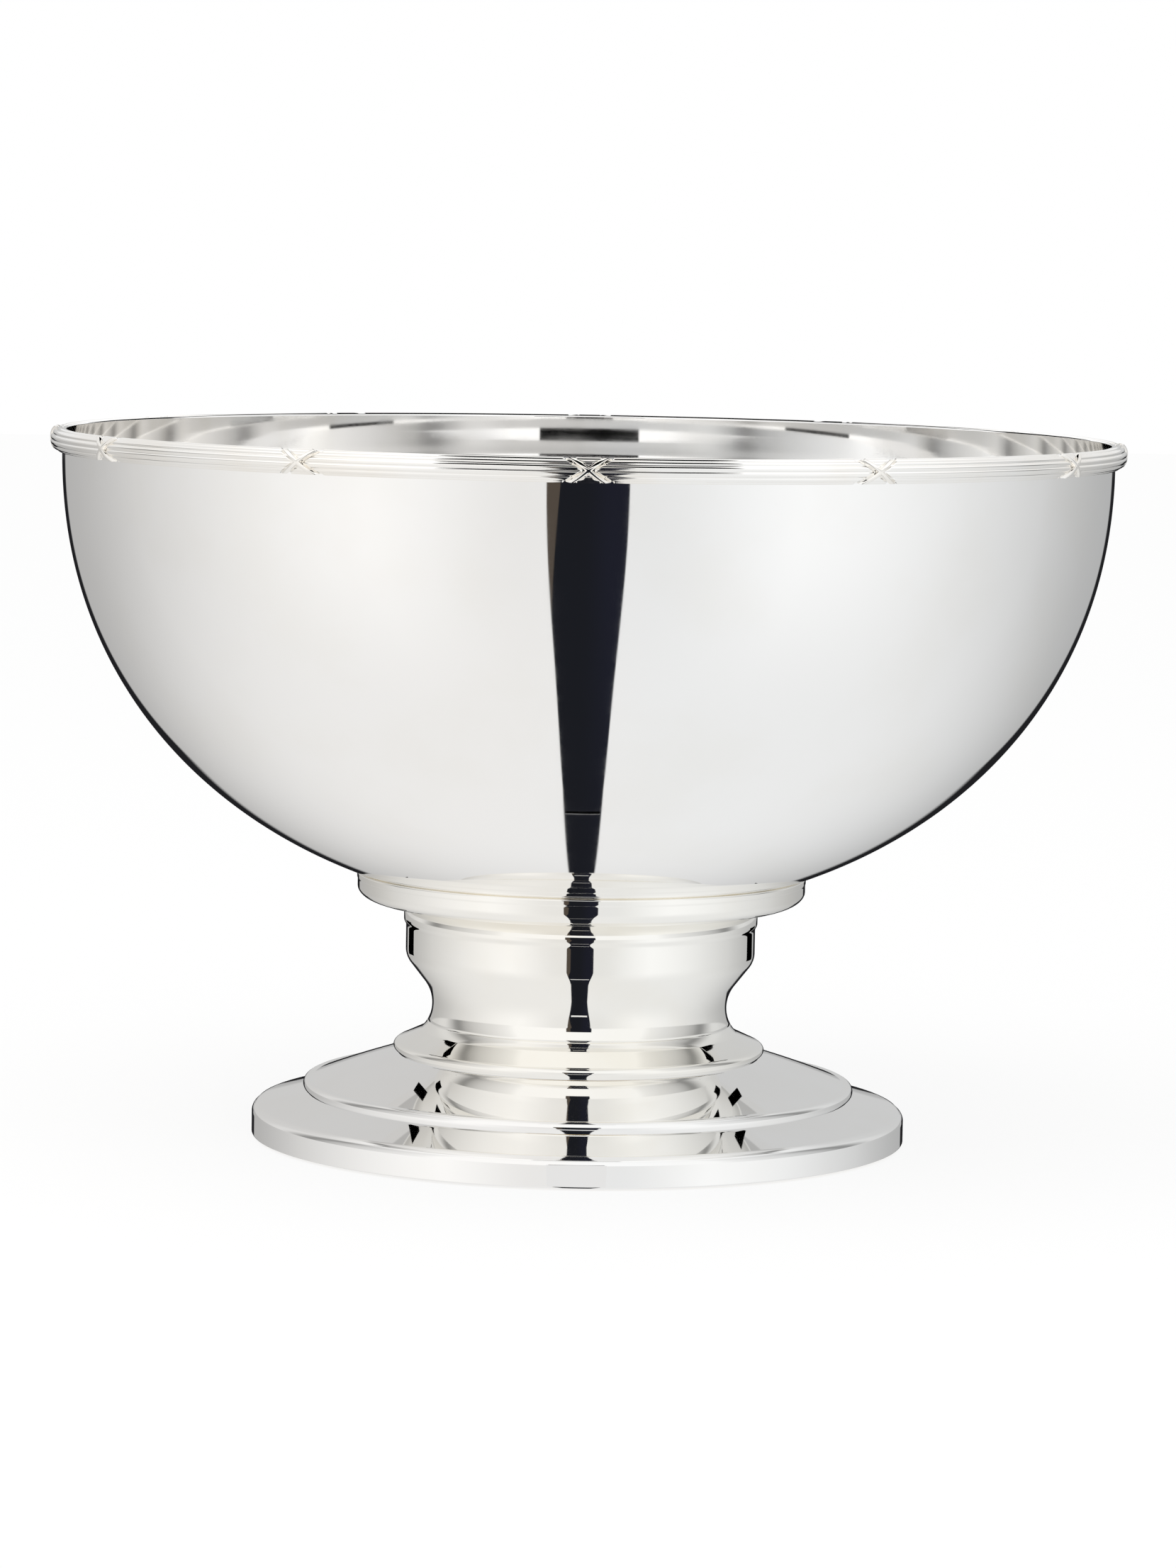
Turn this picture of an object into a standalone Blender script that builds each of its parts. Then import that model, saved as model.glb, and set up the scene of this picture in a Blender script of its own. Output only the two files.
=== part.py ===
"""Silver-plated punch bowl on a turned pedestal. Metres, +Z up, origin on the floor under the bowl's axis.

Every piece is turned about Z except the ribbon ties on the border and the hexagon nut. A stud through the
pedestal draws the bowl, the neck and the three foot shells together between the boss and the bridge plate.
"""
import math

import bmesh
import bpy

# Facets and clearances
SEGMENTS = 36             # facets round the big turned pieces
SMALL_SEGMENTS = 24       # facets round the stud, spacer, washer, boss and nut
GAP = 0.0003              # clearance between touching pieces
SHEET = 0.0014            # wall of the spun sheet pieces

# Bowl: the outside is a slightly full half ellipsoid under a short upright lip
BOWL_RADIUS = 0.1858
BOWL_DEPTH = 0.1620
BOWL_FULLNESS = 2.15      # 2 would be a true ellipse
BOWL_STEPS = 12
EQUATOR_Z = 0.2440
LIP_Z = 0.2506

# Reeded border round the lip
BORDER_Z = 0.2467
BORDER_BULGE = 0.0039     # how far the reeds stand out from the wall
BORDER_HALF_HEIGHT = 0.0043
REEDS = 6
REED_DEPTH = 0.0004

# Crossed-ribbon ties over the border
TIES = 12
TIE_HALF_WIDTH = 0.0054
TIE_REACH = 52.0          # degrees up and down the half round from its widest point
RIBBON_WIDTH = 0.0022
RIBBON_THICKNESS = 0.0009
RIBBON_BEVEL = 0.15       # share of the width taken off each upper edge
RIBBON_STEPS = 5

# Collar between bowl and neck
COLLAR_RADIUS = 0.0798
COLLAR_BORE = 0.0500
COLLAR_BOTTOM_Z = 0.0838
COLLAR_WALL_Z = 0.0894    # where the upright wall turns into the round under it
COLLAR_ROUND = (0.0086, 0.0052)    # reach of that round, inwards and down
COLLAR_FACE_RADIUS = 0.0670        # outer edge of the flat underside
COLLAR_CHAMFER = 0.0006
SOLDER_GAP = 0.0005       # under the bowl's curve

# Neck: a drum with a lip round its top, above a waist
DRUM_RADIUS = 0.0623
DRUM_LIP_RADIUS = 0.0631
LIP_ROUND = 0.0006
LIP_BOTTOM_Z = 0.0772
DRUM_TOP_Z = 0.0757       # where the wall starts under the lip
DRUM_BOTTOM_Z = 0.0670    # where the wall turns into the round above the waist
DRUM_ROUND = 0.0078       # radius of the round above the waist
WAIST_RADIUS = 0.0526
WAIST_Z = 0.0470
WAIST_ROUND = 0.0142      # radius of the hollow above the waist
WAIST_SLOPE = 38.0        # slope between the round and the hollow, in degrees from upright
SEAM_Z = 0.0412
FLARE_RADIUS = 0.0128     # of the curve that sweeps out below the waist

# Foot shells, from the top down
DOME_RADIUS = 0.0662
DOME_BOTTOM_Z = 0.0300
SPIGOT_TOP_Z = 0.0500
RING_ROUND = (0.0027, 0.0021)      # half width and half height of the dome's round rim
TIER_RADIUS = 0.0983
TIER_SHOULDER = 0.0676    # where the tier's slope meets its flange
TIER_BORE = 0.0500
TIER_BOTTOM_Z = 0.0162
TIER_SLOPE = 0.34         # rise per metre inwards
TIER_CROWN = 0.0003       # how much fuller the slope is in its middle
TIER_EDGE_Z = 0.0198      # top of the tier's rounded edge
TIER_ROUND = (0.0024, 0.0023)
BASE_RADIUS = 0.1165
BASE_SHOULDER = 0.0955    # where the base's slope meets its flange
BASE_SLOPE = 0.27
BASE_EDGE_Z = 0.0110
BASE_ROUND = (0.0026, 0.0027)
BAND_TOP_Z = 0.0080
BAND_BOTTOM_Z = 0.0005
FLANGE_RADIUS = 0.0800    # inner edge of the flange that the bridge plate bears on

# Fastening inside the pedestal
STUD_RADIUS = 0.0040
STUD_BORE = 0.0044
STUD_BOTTOM_Z = 0.0032
BOSS_RADIUS = 0.0220
BOSS_BOTTOM_Z = 0.0700
SPACER_RADIUS = 0.0080
BRIDGE_RADIUS = 0.0900
BRIDGE_Z = 0.0120
BRIDGE_THICKNESS = 0.0018
WASHER_RADIUS = 0.0090
WASHER_THICKNESS = 0.0013
NUT_ACROSS_FLATS = 0.0130
NUT_HEIGHT = 0.0062

# Underside
PLATE_Z = 0.0016
PLATE_THICKNESS = 0.0010
WIRE_RADIUS = 0.0012
WIRE_RING_RADIUS = 0.1134
FELT_THICKNESS = 0.0013


def clear_scene():
    for obj in list(bpy.data.objects):
        bpy.data.objects.remove(obj, do_unlink=True)


def make_material(name, colour, metallic, roughness):
    material = bpy.data.materials.new(name)
    material.use_nodes = True
    shader = material.node_tree.nodes["Principled BSDF"]
    shader.inputs["Base Color"].default_value = (*colour, 1.0)
    shader.inputs["Metallic"].default_value = metallic
    shader.inputs["Roughness"].default_value = roughness
    return material


def silver(name):
    return make_material(name, (0.95, 0.94, 0.92), 1.0, 0.06)


def brass(name):
    return make_material(name, (0.78, 0.60, 0.32), 1.0, 0.35)


def steel(name):
    return make_material(name, (0.56, 0.56, 0.58), 1.0, 0.40)


def add_object(name, mesh, material):
    obj = bpy.data.objects.new(name, mesh)
    bpy.context.scene.collection.objects.link(obj)
    if not mesh.materials:
        mesh.materials.append(material)
    mesh.shade_smooth()
    mesh.set_sharp_from_angle(angle=math.radians(35))
    return obj


def mesh_from(name, bm):
    bmesh.ops.remove_doubles(bm, verts=bm.verts, dist=1e-7)
    bmesh.ops.recalc_face_normals(bm, faces=bm.faces)
    mesh = bpy.data.meshes.new(name)
    bm.to_mesh(mesh)
    bm.free()
    return mesh


def turn(name, outline, material, segments=SEGMENTS):
    """Turn a closed outline of (radius, height) points about Z into one closed solid."""
    bm = bmesh.new()
    ring = [bm.verts.new((radius, 0.0, height)) for radius, height in outline]
    edges = [bm.edges.new((ring[i], ring[i - 1])) for i in range(len(ring))]
    axis_edges = [edge for edge in edges if all(vert.co.x < 1e-9 for vert in edge.verts)]
    for edge in axis_edges:
        edges.remove(edge)
    bmesh.ops.spin(
        bm, geom=ring + edges, cent=(0, 0, 0), axis=(0, 0, 1), dvec=(0, 0, 0),
        angle=math.tau, steps=segments, use_merge=True, use_duplicate=False)
    loose = [edge for edge in bm.edges if not edge.link_faces]
    bmesh.ops.delete(bm, geom=loose, context="EDGES")
    return add_object(name, mesh_from(name, bm), material)


def arc(centre, radii, start, end, steps):
    """Points on an ellipse's arc, angles in degrees from +X towards +Z."""
    points = []
    for i in range(steps + 1):
        angle = math.radians(start + (end - start) * i / steps)
        points.append((centre[0] + radii[0] * math.cos(angle), centre[1] + radii[1] * math.sin(angle)))
    return points


def bowl_height(radius, offset=0.0):
    """Height of the bowl's outside (moved in by offset) at a radius."""
    share = 1.0 - (radius / (BOWL_RADIUS - offset)) ** BOWL_FULLNESS
    return EQUATOR_Z - (BOWL_DEPTH - offset) * max(share, 0.0) ** (1.0 / BOWL_FULLNESS)


def bowl_curve(offset, steps):
    """The bowl's half outline from the equator down to the axis."""
    points = []
    for i in range(steps + 1):
        angle = math.radians(90.0 * i / steps)
        across = max(math.cos(angle), 0.0) ** (2.0 / BOWL_FULLNESS)
        down = math.sin(angle) ** (2.0 / BOWL_FULLNESS)
        radius = 0.0 if i == steps else (BOWL_RADIUS - offset) * across
        points.append((radius, EQUATOR_Z - (BOWL_DEPTH - offset) * down))
    return points


def add_bowl():
    outside = [(BOWL_RADIUS, LIP_Z)] + bowl_curve(0.0, BOWL_STEPS)
    inside = bowl_curve(SHEET, BOWL_STEPS)[::-1] + [(BOWL_RADIUS - SHEET, LIP_Z)]
    return turn("bowl_shell", outside + inside, silver("bowl_silver"))


def border_point(angle, stand_off=0.0):
    """A point of the border's plain half-round envelope, angle in radians from the widest point."""
    radius = BOWL_RADIUS + GAP + (BORDER_BULGE + stand_off) * math.cos(angle)
    return radius, BORDER_Z + (BORDER_HALF_HEIGHT + stand_off) * math.sin(angle)


def add_border():
    outline = []
    for i in range(2 * REEDS + 1):
        angle = math.radians(90.0 - 180.0 * i / (2 * REEDS))
        groove = i % 2 == 0 and 0 < i < 2 * REEDS
        outline.append(border_point(angle, -REED_DEPTH if groove else 0.0))
    return turn("rim_border", outline, silver("border_silver"))


def ribbon_mesh(name, side):
    """One ribbon of a tie: a bar that climbs over the half-round border from one side to the other."""
    bm = bmesh.new()
    rows = []
    for i in range(RIBBON_STEPS + 1):
        share = i / RIBBON_STEPS
        angle = math.radians(TIE_REACH * (2.0 * share - 1.0))
        middle = side * TIE_HALF_WIDTH * (2.0 * share - 1.0)
        row = []
        flat, top = 0.5 - RIBBON_BEVEL, GAP + RIBBON_THICKNESS
        for stand_off, edge in ((GAP, -0.5), (GAP, 0.5), (top, flat), (top, -flat)):
            radius, height = border_point(angle, stand_off)
            row.append(bm.verts.new((radius, middle + edge * RIBBON_WIDTH, height)))
        rows.append(row)
    for low, high in zip(rows, rows[1:]):
        for i in range(4):
            bm.faces.new((low[i], low[(i + 1) % 4], high[(i + 1) % 4], high[i]))
    bm.faces.new(rows[0][::-1])
    bm.faces.new(rows[-1])
    return mesh_from(name, bm)


def tie_mesh():
    """Both ribbons of a tie, joined where they cross."""
    first = bpy.data.objects.new("ribbon_a", ribbon_mesh("ribbon_a", 1))
    second = bpy.data.objects.new("ribbon_b", ribbon_mesh("ribbon_b", -1))
    for obj in (first, second):
        bpy.context.scene.collection.objects.link(obj)
    union = first.modifiers.new("cross", "BOOLEAN")
    union.operation = "UNION"
    union.object = second
    graph = bpy.context.evaluated_depsgraph_get()
    mesh = bpy.data.meshes.new_from_object(first.evaluated_get(graph))
    mesh.name = "ribbon_tie"
    for obj in (first, second):
        bpy.data.objects.remove(obj, do_unlink=True)
    return mesh


def add_ties():
    mesh = tie_mesh()
    material = silver("tie_silver")
    for i in range(TIES):
        tie = add_object(f"ribbon_tie_{i + 1:02d}", mesh, material)
        tie.rotation_euler.z = math.tau * i / TIES - math.pi / 2


def add_collar():
    outside = arc((COLLAR_RADIUS - COLLAR_CHAMFER - COLLAR_ROUND[0], COLLAR_WALL_Z), COLLAR_ROUND, 0, -75, 4)
    seat = []
    for i in range(6):
        radius = COLLAR_BORE + (COLLAR_RADIUS - COLLAR_CHAMFER - COLLAR_BORE) * i / 5
        seat.append((radius, bowl_height(radius) - SOLDER_GAP))
    outline = seat + [(COLLAR_RADIUS, seat[-1][1] - COLLAR_CHAMFER)] + outside
    outline += [(COLLAR_FACE_RADIUS, COLLAR_BOTTOM_Z), (COLLAR_BORE, COLLAR_BOTTOM_Z)]
    return turn("bowl_collar", outline, silver("collar_silver"))


def flare_radius(height, offset=0.0):
    """Radius of the flare below the waist, moved inwards by offset."""
    reach = FLARE_RADIUS + offset
    return WAIST_RADIUS + FLARE_RADIUS - math.sqrt(reach ** 2 - (WAIST_Z - height) ** 2)


def neck_outside(offset):
    """The neck's outline from under its lip to the seam, moved inwards by offset."""
    round_by, hollow = DRUM_ROUND - offset, WAIST_ROUND + offset
    points = arc((DRUM_RADIUS - DRUM_ROUND, DRUM_BOTTOM_Z), (round_by, round_by), 0, -WAIST_SLOPE, 3)
    points += arc((WAIST_RADIUS + WAIST_ROUND, WAIST_Z), (hollow, hollow), 180 - WAIST_SLOPE, 180, 4)
    points += [(flare_radius(height, offset), height) for height in (WAIST_Z - 0.0030, SEAM_Z + GAP)]
    return points


def add_neck():
    top = COLLAR_BOTTOM_Z - GAP
    lip = [(DRUM_LIP_RADIUS - LIP_ROUND, top), (DRUM_LIP_RADIUS, top - LIP_ROUND)]
    lip += [(DRUM_LIP_RADIUS, LIP_BOTTOM_Z), (DRUM_RADIUS, DRUM_TOP_Z)]
    inside = neck_outside(SHEET)[::-1] + [(DRUM_RADIUS - SHEET, top - SHEET), (COLLAR_BORE, top - SHEET)]
    outline = [(COLLAR_BORE, top)] + lip + neck_outside(0.0) + inside
    return turn("neck_drum", outline, silver("neck_silver"))


def add_dome():
    """Upper foot: a spigot inside the neck, a flare, and the small top ring."""
    spigot_radius = WAIST_RADIUS - SHEET - GAP
    flare = [(flare_radius(SEAM_Z - drop), SEAM_Z - drop) for drop in (0.0, 0.0010, 0.0020, 0.0030)]
    ring = arc((DOME_RADIUS - RING_ROUND[0], DOME_BOTTOM_Z + RING_ROUND[1]), RING_ROUND, 60, -60, 4)
    flare_inside = [(flare_radius(SEAM_Z - drop, 0.0020), SEAM_Z - drop) for drop in (0.0040, 0.0025, 0.0010)]
    outline = [(spigot_radius, SPIGOT_TOP_Z), (spigot_radius, flare[0][1])] + flare + ring
    outline += [(0.0560, DOME_BOTTOM_Z), (0.0560, DOME_BOTTOM_Z + 0.0015), (0.0628, DOME_BOTTOM_Z + 0.0015)]
    outline += [(0.0622, DOME_BOTTOM_Z + 0.0030)] + flare_inside
    outline += [(spigot_radius - SHEET, SEAM_Z + 0.0005), (spigot_radius - SHEET, SPIGOT_TOP_Z)]
    return turn("foot_dome", outline, silver("dome_silver"))


def rising_slope(edge_radius, edge_height, inner_radius, rise, crown, steps):
    """A shallow cone top that rises inwards from its edge, a little fuller in the middle."""
    points = []
    width = edge_radius - inner_radius
    for i in range(steps + 1):
        share = 1.0 - i / steps
        height = edge_height + rise * width * share + crown * 4.0 * share * (1.0 - share)
        points.append((edge_radius - width * share, height))
    return points


def add_tier():
    """Second foot shell: flange under the dome, a rising slope and a rounded edge."""
    top = DOME_BOTTOM_Z - GAP
    slope = rising_slope(TIER_RADIUS - 0.0028, TIER_EDGE_Z, TIER_SHOULDER, TIER_SLOPE, TIER_CROWN, 4)
    edge = arc((TIER_RADIUS - TIER_ROUND[0], TIER_EDGE_Z - 0.0018), TIER_ROUND, 60, -40, 4)
    underneath = TIER_EDGE_Z - 0.0016
    inside = rising_slope(TIER_RADIUS - 0.0034, underneath, TIER_SHOULDER, TIER_SLOPE, TIER_CROWN, 2)[::-1]
    outline = [(TIER_BORE, top), (TIER_SHOULDER - 0.0012, top)] + slope + edge
    outline += [(TIER_RADIUS - 0.0012, TIER_BOTTOM_Z), (TIER_RADIUS - 0.0024, TIER_BOTTOM_Z)]
    outline += [(TIER_RADIUS - 0.0024, 0.0174)] + inside + [(TIER_SHOULDER - 0.0018, top - SHEET)]
    outline += [(TIER_BORE, top - SHEET)]
    return turn("foot_tier", outline, silver("tier_silver"))


def add_base():
    """Lowest foot shell: flange under the tier, a shallow slope, a round shoulder and the upright band."""
    top = TIER_BOTTOM_Z - GAP
    slope_top = BASE_SHOULDER + 0.0020
    slope = rising_slope(BASE_RADIUS - 0.0019, BASE_EDGE_Z, slope_top, BASE_SLOPE, 0.0, 2)
    shoulder = arc((BASE_RADIUS - BASE_ROUND[0], BAND_TOP_Z), BASE_ROUND, 50, 0, 3)
    inside = rising_slope(BASE_RADIUS - 0.0029, BASE_EDGE_Z - 0.0016, slope_top, BASE_SLOPE, 0.0, 1)[::-1]
    outline = [(FLANGE_RADIUS, top), (BASE_SHOULDER, top)] + slope + shoulder + [(BASE_RADIUS, BAND_BOTTOM_Z)]
    outline += [(BASE_RADIUS - SHEET, BAND_BOTTOM_Z), (BASE_RADIUS - SHEET, BAND_TOP_Z - 0.0004)]
    outline += inside + [(0.0948, top - SHEET), (FLANGE_RADIUS, top - SHEET)]
    return turn("foot_base", outline, silver("base_silver"))


def add_boss():
    """Backing disc under the bowl's bottom, bored for the stud."""
    seat = []
    for i in range(4):
        radius = STUD_BORE + (BOSS_RADIUS - STUD_BORE) * i / 3
        seat.append((radius, bowl_height(radius) - 0.0004))
    chamfer = 0.0010
    outline = seat + [(BOSS_RADIUS, BOSS_BOTTOM_Z + chamfer), (BOSS_RADIUS - chamfer, BOSS_BOTTOM_Z)]
    outline += [(STUD_BORE, BOSS_BOTTOM_Z)]
    return turn("bowl_boss", outline, brass("boss_brass"), SMALL_SEGMENTS)


def tube_outline(bore, radius, bottom, top):
    return [(bore, bottom), (bore, top), (radius, top), (radius, bottom)]


def add_stud():
    top = bowl_height(0.0) - 0.0007
    chamfer = 0.0006
    outline = [(0.0, STUD_BOTTOM_Z), (0.0, top), (STUD_RADIUS - chamfer, top), (STUD_RADIUS, top - chamfer)]
    outline += [(STUD_RADIUS, STUD_BOTTOM_Z + chamfer), (STUD_RADIUS - chamfer, STUD_BOTTOM_Z)]
    return turn("tie_stud", outline, steel("stud_steel"), SMALL_SEGMENTS)


def add_spacer():
    outline = tube_outline(STUD_BORE, SPACER_RADIUS, BRIDGE_Z + BRIDGE_THICKNESS + GAP, BOSS_BOTTOM_Z - GAP)
    return turn("stem_spacer", outline, brass("spacer_brass"), SMALL_SEGMENTS)


def add_bridge():
    """Closing plate across the foot, which the nut pulls up against the base's flange."""
    outline = tube_outline(STUD_BORE, BRIDGE_RADIUS, BRIDGE_Z, BRIDGE_Z + BRIDGE_THICKNESS)
    return turn("foot_bridge", outline, steel("bridge_steel"))


def add_washer():
    top = BRIDGE_Z - GAP
    outline = tube_outline(STUD_BORE, WASHER_RADIUS, top - WASHER_THICKNESS, top)
    return turn("lock_washer", outline, steel("washer_steel"), SMALL_SEGMENTS)


def add_nut():
    """Hexagon nut round the stud, built as a prism with a six-sided outside and a round bore."""
    top = BRIDGE_Z - 2 * GAP - WASHER_THICKNESS
    corner = NUT_ACROSS_FLATS / math.sqrt(3.0)
    bm = bmesh.new()
    rings = []
    for height in (top - NUT_HEIGHT, top):
        for flat_sided in (False, True):
            ring = []
            for i in range(SMALL_SEGMENTS):
                angle = math.tau * i / SMALL_SEGMENTS
                radius = STUD_BORE
                if flat_sided:
                    from_flat = (angle + math.pi / 6) % (math.pi / 3) - math.pi / 6
                    radius = corner * math.cos(math.pi / 6) / math.cos(from_flat)
                ring.append(bm.verts.new((radius * math.cos(angle), radius * math.sin(angle), height)))
            rings.append(ring)
    bore_low, hex_low, bore_high, hex_high = rings
    for i in range(SMALL_SEGMENTS):
        j = (i + 1) % SMALL_SEGMENTS
        for a, b in ((bore_low, hex_low), (hex_low, hex_high), (hex_high, bore_high), (bore_high, bore_low)):
            bm.faces.new((a[i], a[j], b[j], b[i]))
    return add_object("tie_nut", mesh_from("tie_nut", bm), brass("nut_brass"))


def add_underside():
    """Wire in the band's lower edge, the closing plate inside it and the felt under the plate."""
    wire = arc((WIRE_RING_RADIUS, BAND_BOTTOM_Z + 0.0015), (WIRE_RADIUS, WIRE_RADIUS), 0, 315, 7)
    turn("base_wire", wire, brass("wire_brass"))
    plate_radius = WIRE_RING_RADIUS - WIRE_RADIUS - GAP
    plate = [(0.0, PLATE_Z), (0.0, PLATE_Z + PLATE_THICKNESS), (plate_radius, PLATE_Z + PLATE_THICKNESS)]
    turn("base_plate", plate + [(plate_radius, PLATE_Z)], steel("plate_steel"))
    felt = [(0.0, 0.0), (0.0, FELT_THICKNESS), (plate_radius, FELT_THICKNESS), (plate_radius, 0.0)]
    turn("felt_pad", felt, make_material("felt_green", (0.02, 0.05, 0.035), 0.0, 0.95))


def main():
    clear_scene()
    add_bowl()
    add_border()
    add_ties()
    add_collar()
    add_neck()
    add_dome()
    add_tier()
    add_base()
    add_boss()
    add_stud()
    add_spacer()
    add_bridge()
    add_washer()
    add_nut()
    add_underside()


main()
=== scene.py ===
"""Looks of the silver-plated punch bowl: turned shells, a reeded rim with crossed-ribbon ties, and a studio.

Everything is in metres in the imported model's own frame: +Z up, the origin on the floor under the bowl's axis.
Outer radii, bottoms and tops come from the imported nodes. The constants here shape what lies between them and
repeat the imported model's own sizes.
"""

import math

import bmesh
import bpy
from mathutils import Matrix, Vector


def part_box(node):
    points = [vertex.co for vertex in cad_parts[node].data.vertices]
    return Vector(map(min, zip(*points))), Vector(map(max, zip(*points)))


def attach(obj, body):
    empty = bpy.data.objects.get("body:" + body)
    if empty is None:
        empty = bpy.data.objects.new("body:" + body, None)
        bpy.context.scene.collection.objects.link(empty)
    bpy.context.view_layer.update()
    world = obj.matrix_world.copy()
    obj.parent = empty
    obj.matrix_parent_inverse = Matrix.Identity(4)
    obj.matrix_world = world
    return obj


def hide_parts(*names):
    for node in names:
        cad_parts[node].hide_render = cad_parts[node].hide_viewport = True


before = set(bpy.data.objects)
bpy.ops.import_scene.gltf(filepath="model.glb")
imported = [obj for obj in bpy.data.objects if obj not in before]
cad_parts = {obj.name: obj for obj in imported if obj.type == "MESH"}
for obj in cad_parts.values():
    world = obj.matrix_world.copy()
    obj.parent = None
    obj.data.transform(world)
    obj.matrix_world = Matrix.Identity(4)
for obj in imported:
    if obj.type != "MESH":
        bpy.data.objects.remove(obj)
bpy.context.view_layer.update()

# Fineness of the turned pieces
SEGMENTS = 256
SMALL_SEGMENTS = 96
CORNER_STEPS = 5          # steps in a rounded corner
SUPPORT = 0.00008         # length of the short edge that ends a rounded corner, which keeps flats flat
SHEET = 0.0014            # wall of the spun sheet pieces
SEAT = 0.00005            # how far a piece reaches into its neighbour at a closed seam

# Bowl
BOWL_FULLNESS = 2.15      # exponent of the outline; 2 would be a true ellipse
BOWL_STEPS = 110
EQUATOR_Z = 0.2440
LIP_ROUNDING = 0.0006

# Reeded border and its ties
REEDS = 6
REED_DEPTH = 0.00068
REED_STEPS = 8
RECESS_DEPTH = 0.00062    # of the sunk ground beside a ribbon
RECESS_REACH = 0.0016     # from a ribbon's middle to where the reeds start
RECESS_FADE = 0.0007
TIES = 12
TIE_HALF_WIDTH = 0.0054
TIE_ANGLE = 52.0          # degrees from the border's widest point at which a ribbon is that far out
TIE_REACH = 60.0          # degrees at which a ribbon ends
RIBBON_STEPS = 28
RIBBON_HALF_WIDTH = 0.00118
RIBBON_BOTTOM = -0.0008   # under the border's envelope
RIBBON_TOP = 0.00088      # over it
RIBBON_END_DROP = 0.00035 # how much lower a ribbon's top gets at each of its last two steps
NEAR_STEP = 0.00028       # between the border's sections close to a tie
NEAR_STEPS = 36
FAR_STEPS = 10
FAR_GROWTH = 1.4          # how fast the sections spread further from a tie
BORDER_WALL = 0.0002      # how deep the border's flat back reaches into the bowl


def size_of(node):
    """Outer radius, bottom and top of a turned node."""
    low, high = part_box(node)
    return high.x, low.z, high.z


# ---------------------------------------------------------------------------------------------- materials

def add_node(tree, kind, **settings):
    node = tree.nodes.new(kind)
    for name, value in settings.items():
        setattr(node, name, value)
    return node


def join(tree, source, socket):
    """Feed a socket from another socket, or set it to a plain value."""
    if isinstance(source, bpy.types.NodeSocket):
        tree.links.new(source, socket)
    else:
        socket.default_value = source


def compute(tree, operation, *values, clamp=False):
    node = add_node(tree, "ShaderNodeMath", operation=operation, use_clamp=clamp)
    for value, socket in zip(values, node.inputs):
        join(tree, value, socket)
    return node.outputs[0]


def remap(tree, value, low, high, to_low=0.0, to_high=1.0, smooth=True):
    node = add_node(tree, "ShaderNodeMapRange", clamp=True)
    node.interpolation_type = "SMOOTHSTEP" if smooth else "LINEAR"
    for name, source in (("Value", value), ("From Min", low), ("From Max", high),
                         ("To Min", to_low), ("To Max", to_high)):
        join(tree, source, node.inputs[name])
    return node.outputs["Result"]


def blend(tree, share, first, second):
    """Mix of two colours, given as sockets or as (red, green, blue)."""
    node = add_node(tree, "ShaderNodeMix", data_type="RGBA")
    join(tree, share, node.inputs["Factor"])
    for name, source in (("A", first), ("B", second)):
        socket = [s for s in node.inputs if s.name == name and s.type == "RGBA"][0]
        join(tree, (*source, 1.0) if isinstance(source, tuple) else source, socket)
    return [s for s in node.outputs if s.type == "RGBA"][0]


def noise(tree, scale, stretch=(1.0, 1.0, 1.0), detail=3.0):
    """Noise in the object's own coordinates; scale is in cycles per metre."""
    place = add_node(tree, "ShaderNodeTexCoord").outputs["Object"]
    mapping = add_node(tree, "ShaderNodeMapping")
    mapping.inputs["Scale"].default_value = stretch
    texture = add_node(tree, "ShaderNodeTexNoise")
    tree.links.new(place, mapping.inputs["Vector"])
    tree.links.new(mapping.outputs["Vector"], texture.inputs["Vector"])
    texture.inputs["Scale"].default_value = scale
    texture.inputs["Detail"].default_value = detail
    return texture.outputs["Fac"]


def bump(tree, height, distance, below=None):
    node = add_node(tree, "ShaderNodeBump")
    node.inputs["Distance"].default_value = distance
    node.inputs["Strength"].default_value = 1.0
    tree.links.new(height, node.inputs["Height"])
    if below is not None:
        tree.links.new(below, node.inputs["Normal"])
    return node.outputs["Normal"]


def new_material(name, metallic):
    material = bpy.data.materials.new(name)
    material.use_nodes = True
    shader = material.node_tree.nodes["Principled BSDF"]
    shader.inputs["Metallic"].default_value = metallic
    return material, material.node_tree, shader


def silver(name, bright, warm, polish):
    """Polished silver plate: a mirror with faint hand-polishing haze, lathe lines and a breath of tarnish."""
    material, tree, shader = new_material(name, 1.0)
    tarnish = remap(tree, noise(tree, 22.0, detail=4.0), 0.42, 0.72)
    tree.links.new(blend(tree, tarnish, bright, warm), shader.inputs["Base Color"])
    haze = noise(tree, 70.0, detail=5.0)
    wipes = noise(tree, 900.0, stretch=(0.06, 0.06, 1.0), detail=2.0)
    mixed = compute(tree, "MULTIPLY_ADD", haze, 0.7, compute(tree, "MULTIPLY", wipes, 0.3))
    tree.links.new(remap(tree, mixed, 0.35, 0.65, polish, polish * 1.8), shader.inputs["Roughness"])
    waves = bump(tree, noise(tree, 30.0, detail=1.0), 0.000004)
    tree.links.new(bump(tree, wipes, 0.00000012, waves), shader.inputs["Normal"])
    return material


def turned_metal(name, bright, dark, roughness):
    """Machined brass or steel with lathe lines and uneven colour."""
    material, tree, shader = new_material(name, 1.0)
    stain = remap(tree, noise(tree, 140.0, detail=6.0), 0.35, 0.70)
    tree.links.new(blend(tree, stain, bright, dark), shader.inputs["Base Color"])
    lines = noise(tree, 2600.0, stretch=(0.05, 0.05, 1.0), detail=2.0)
    tree.links.new(remap(tree, lines, 0.3, 0.7, roughness * 0.8, roughness * 1.3), shader.inputs["Roughness"])
    tree.links.new(bump(tree, lines, 0.000012), shader.inputs["Normal"])
    return material


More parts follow.
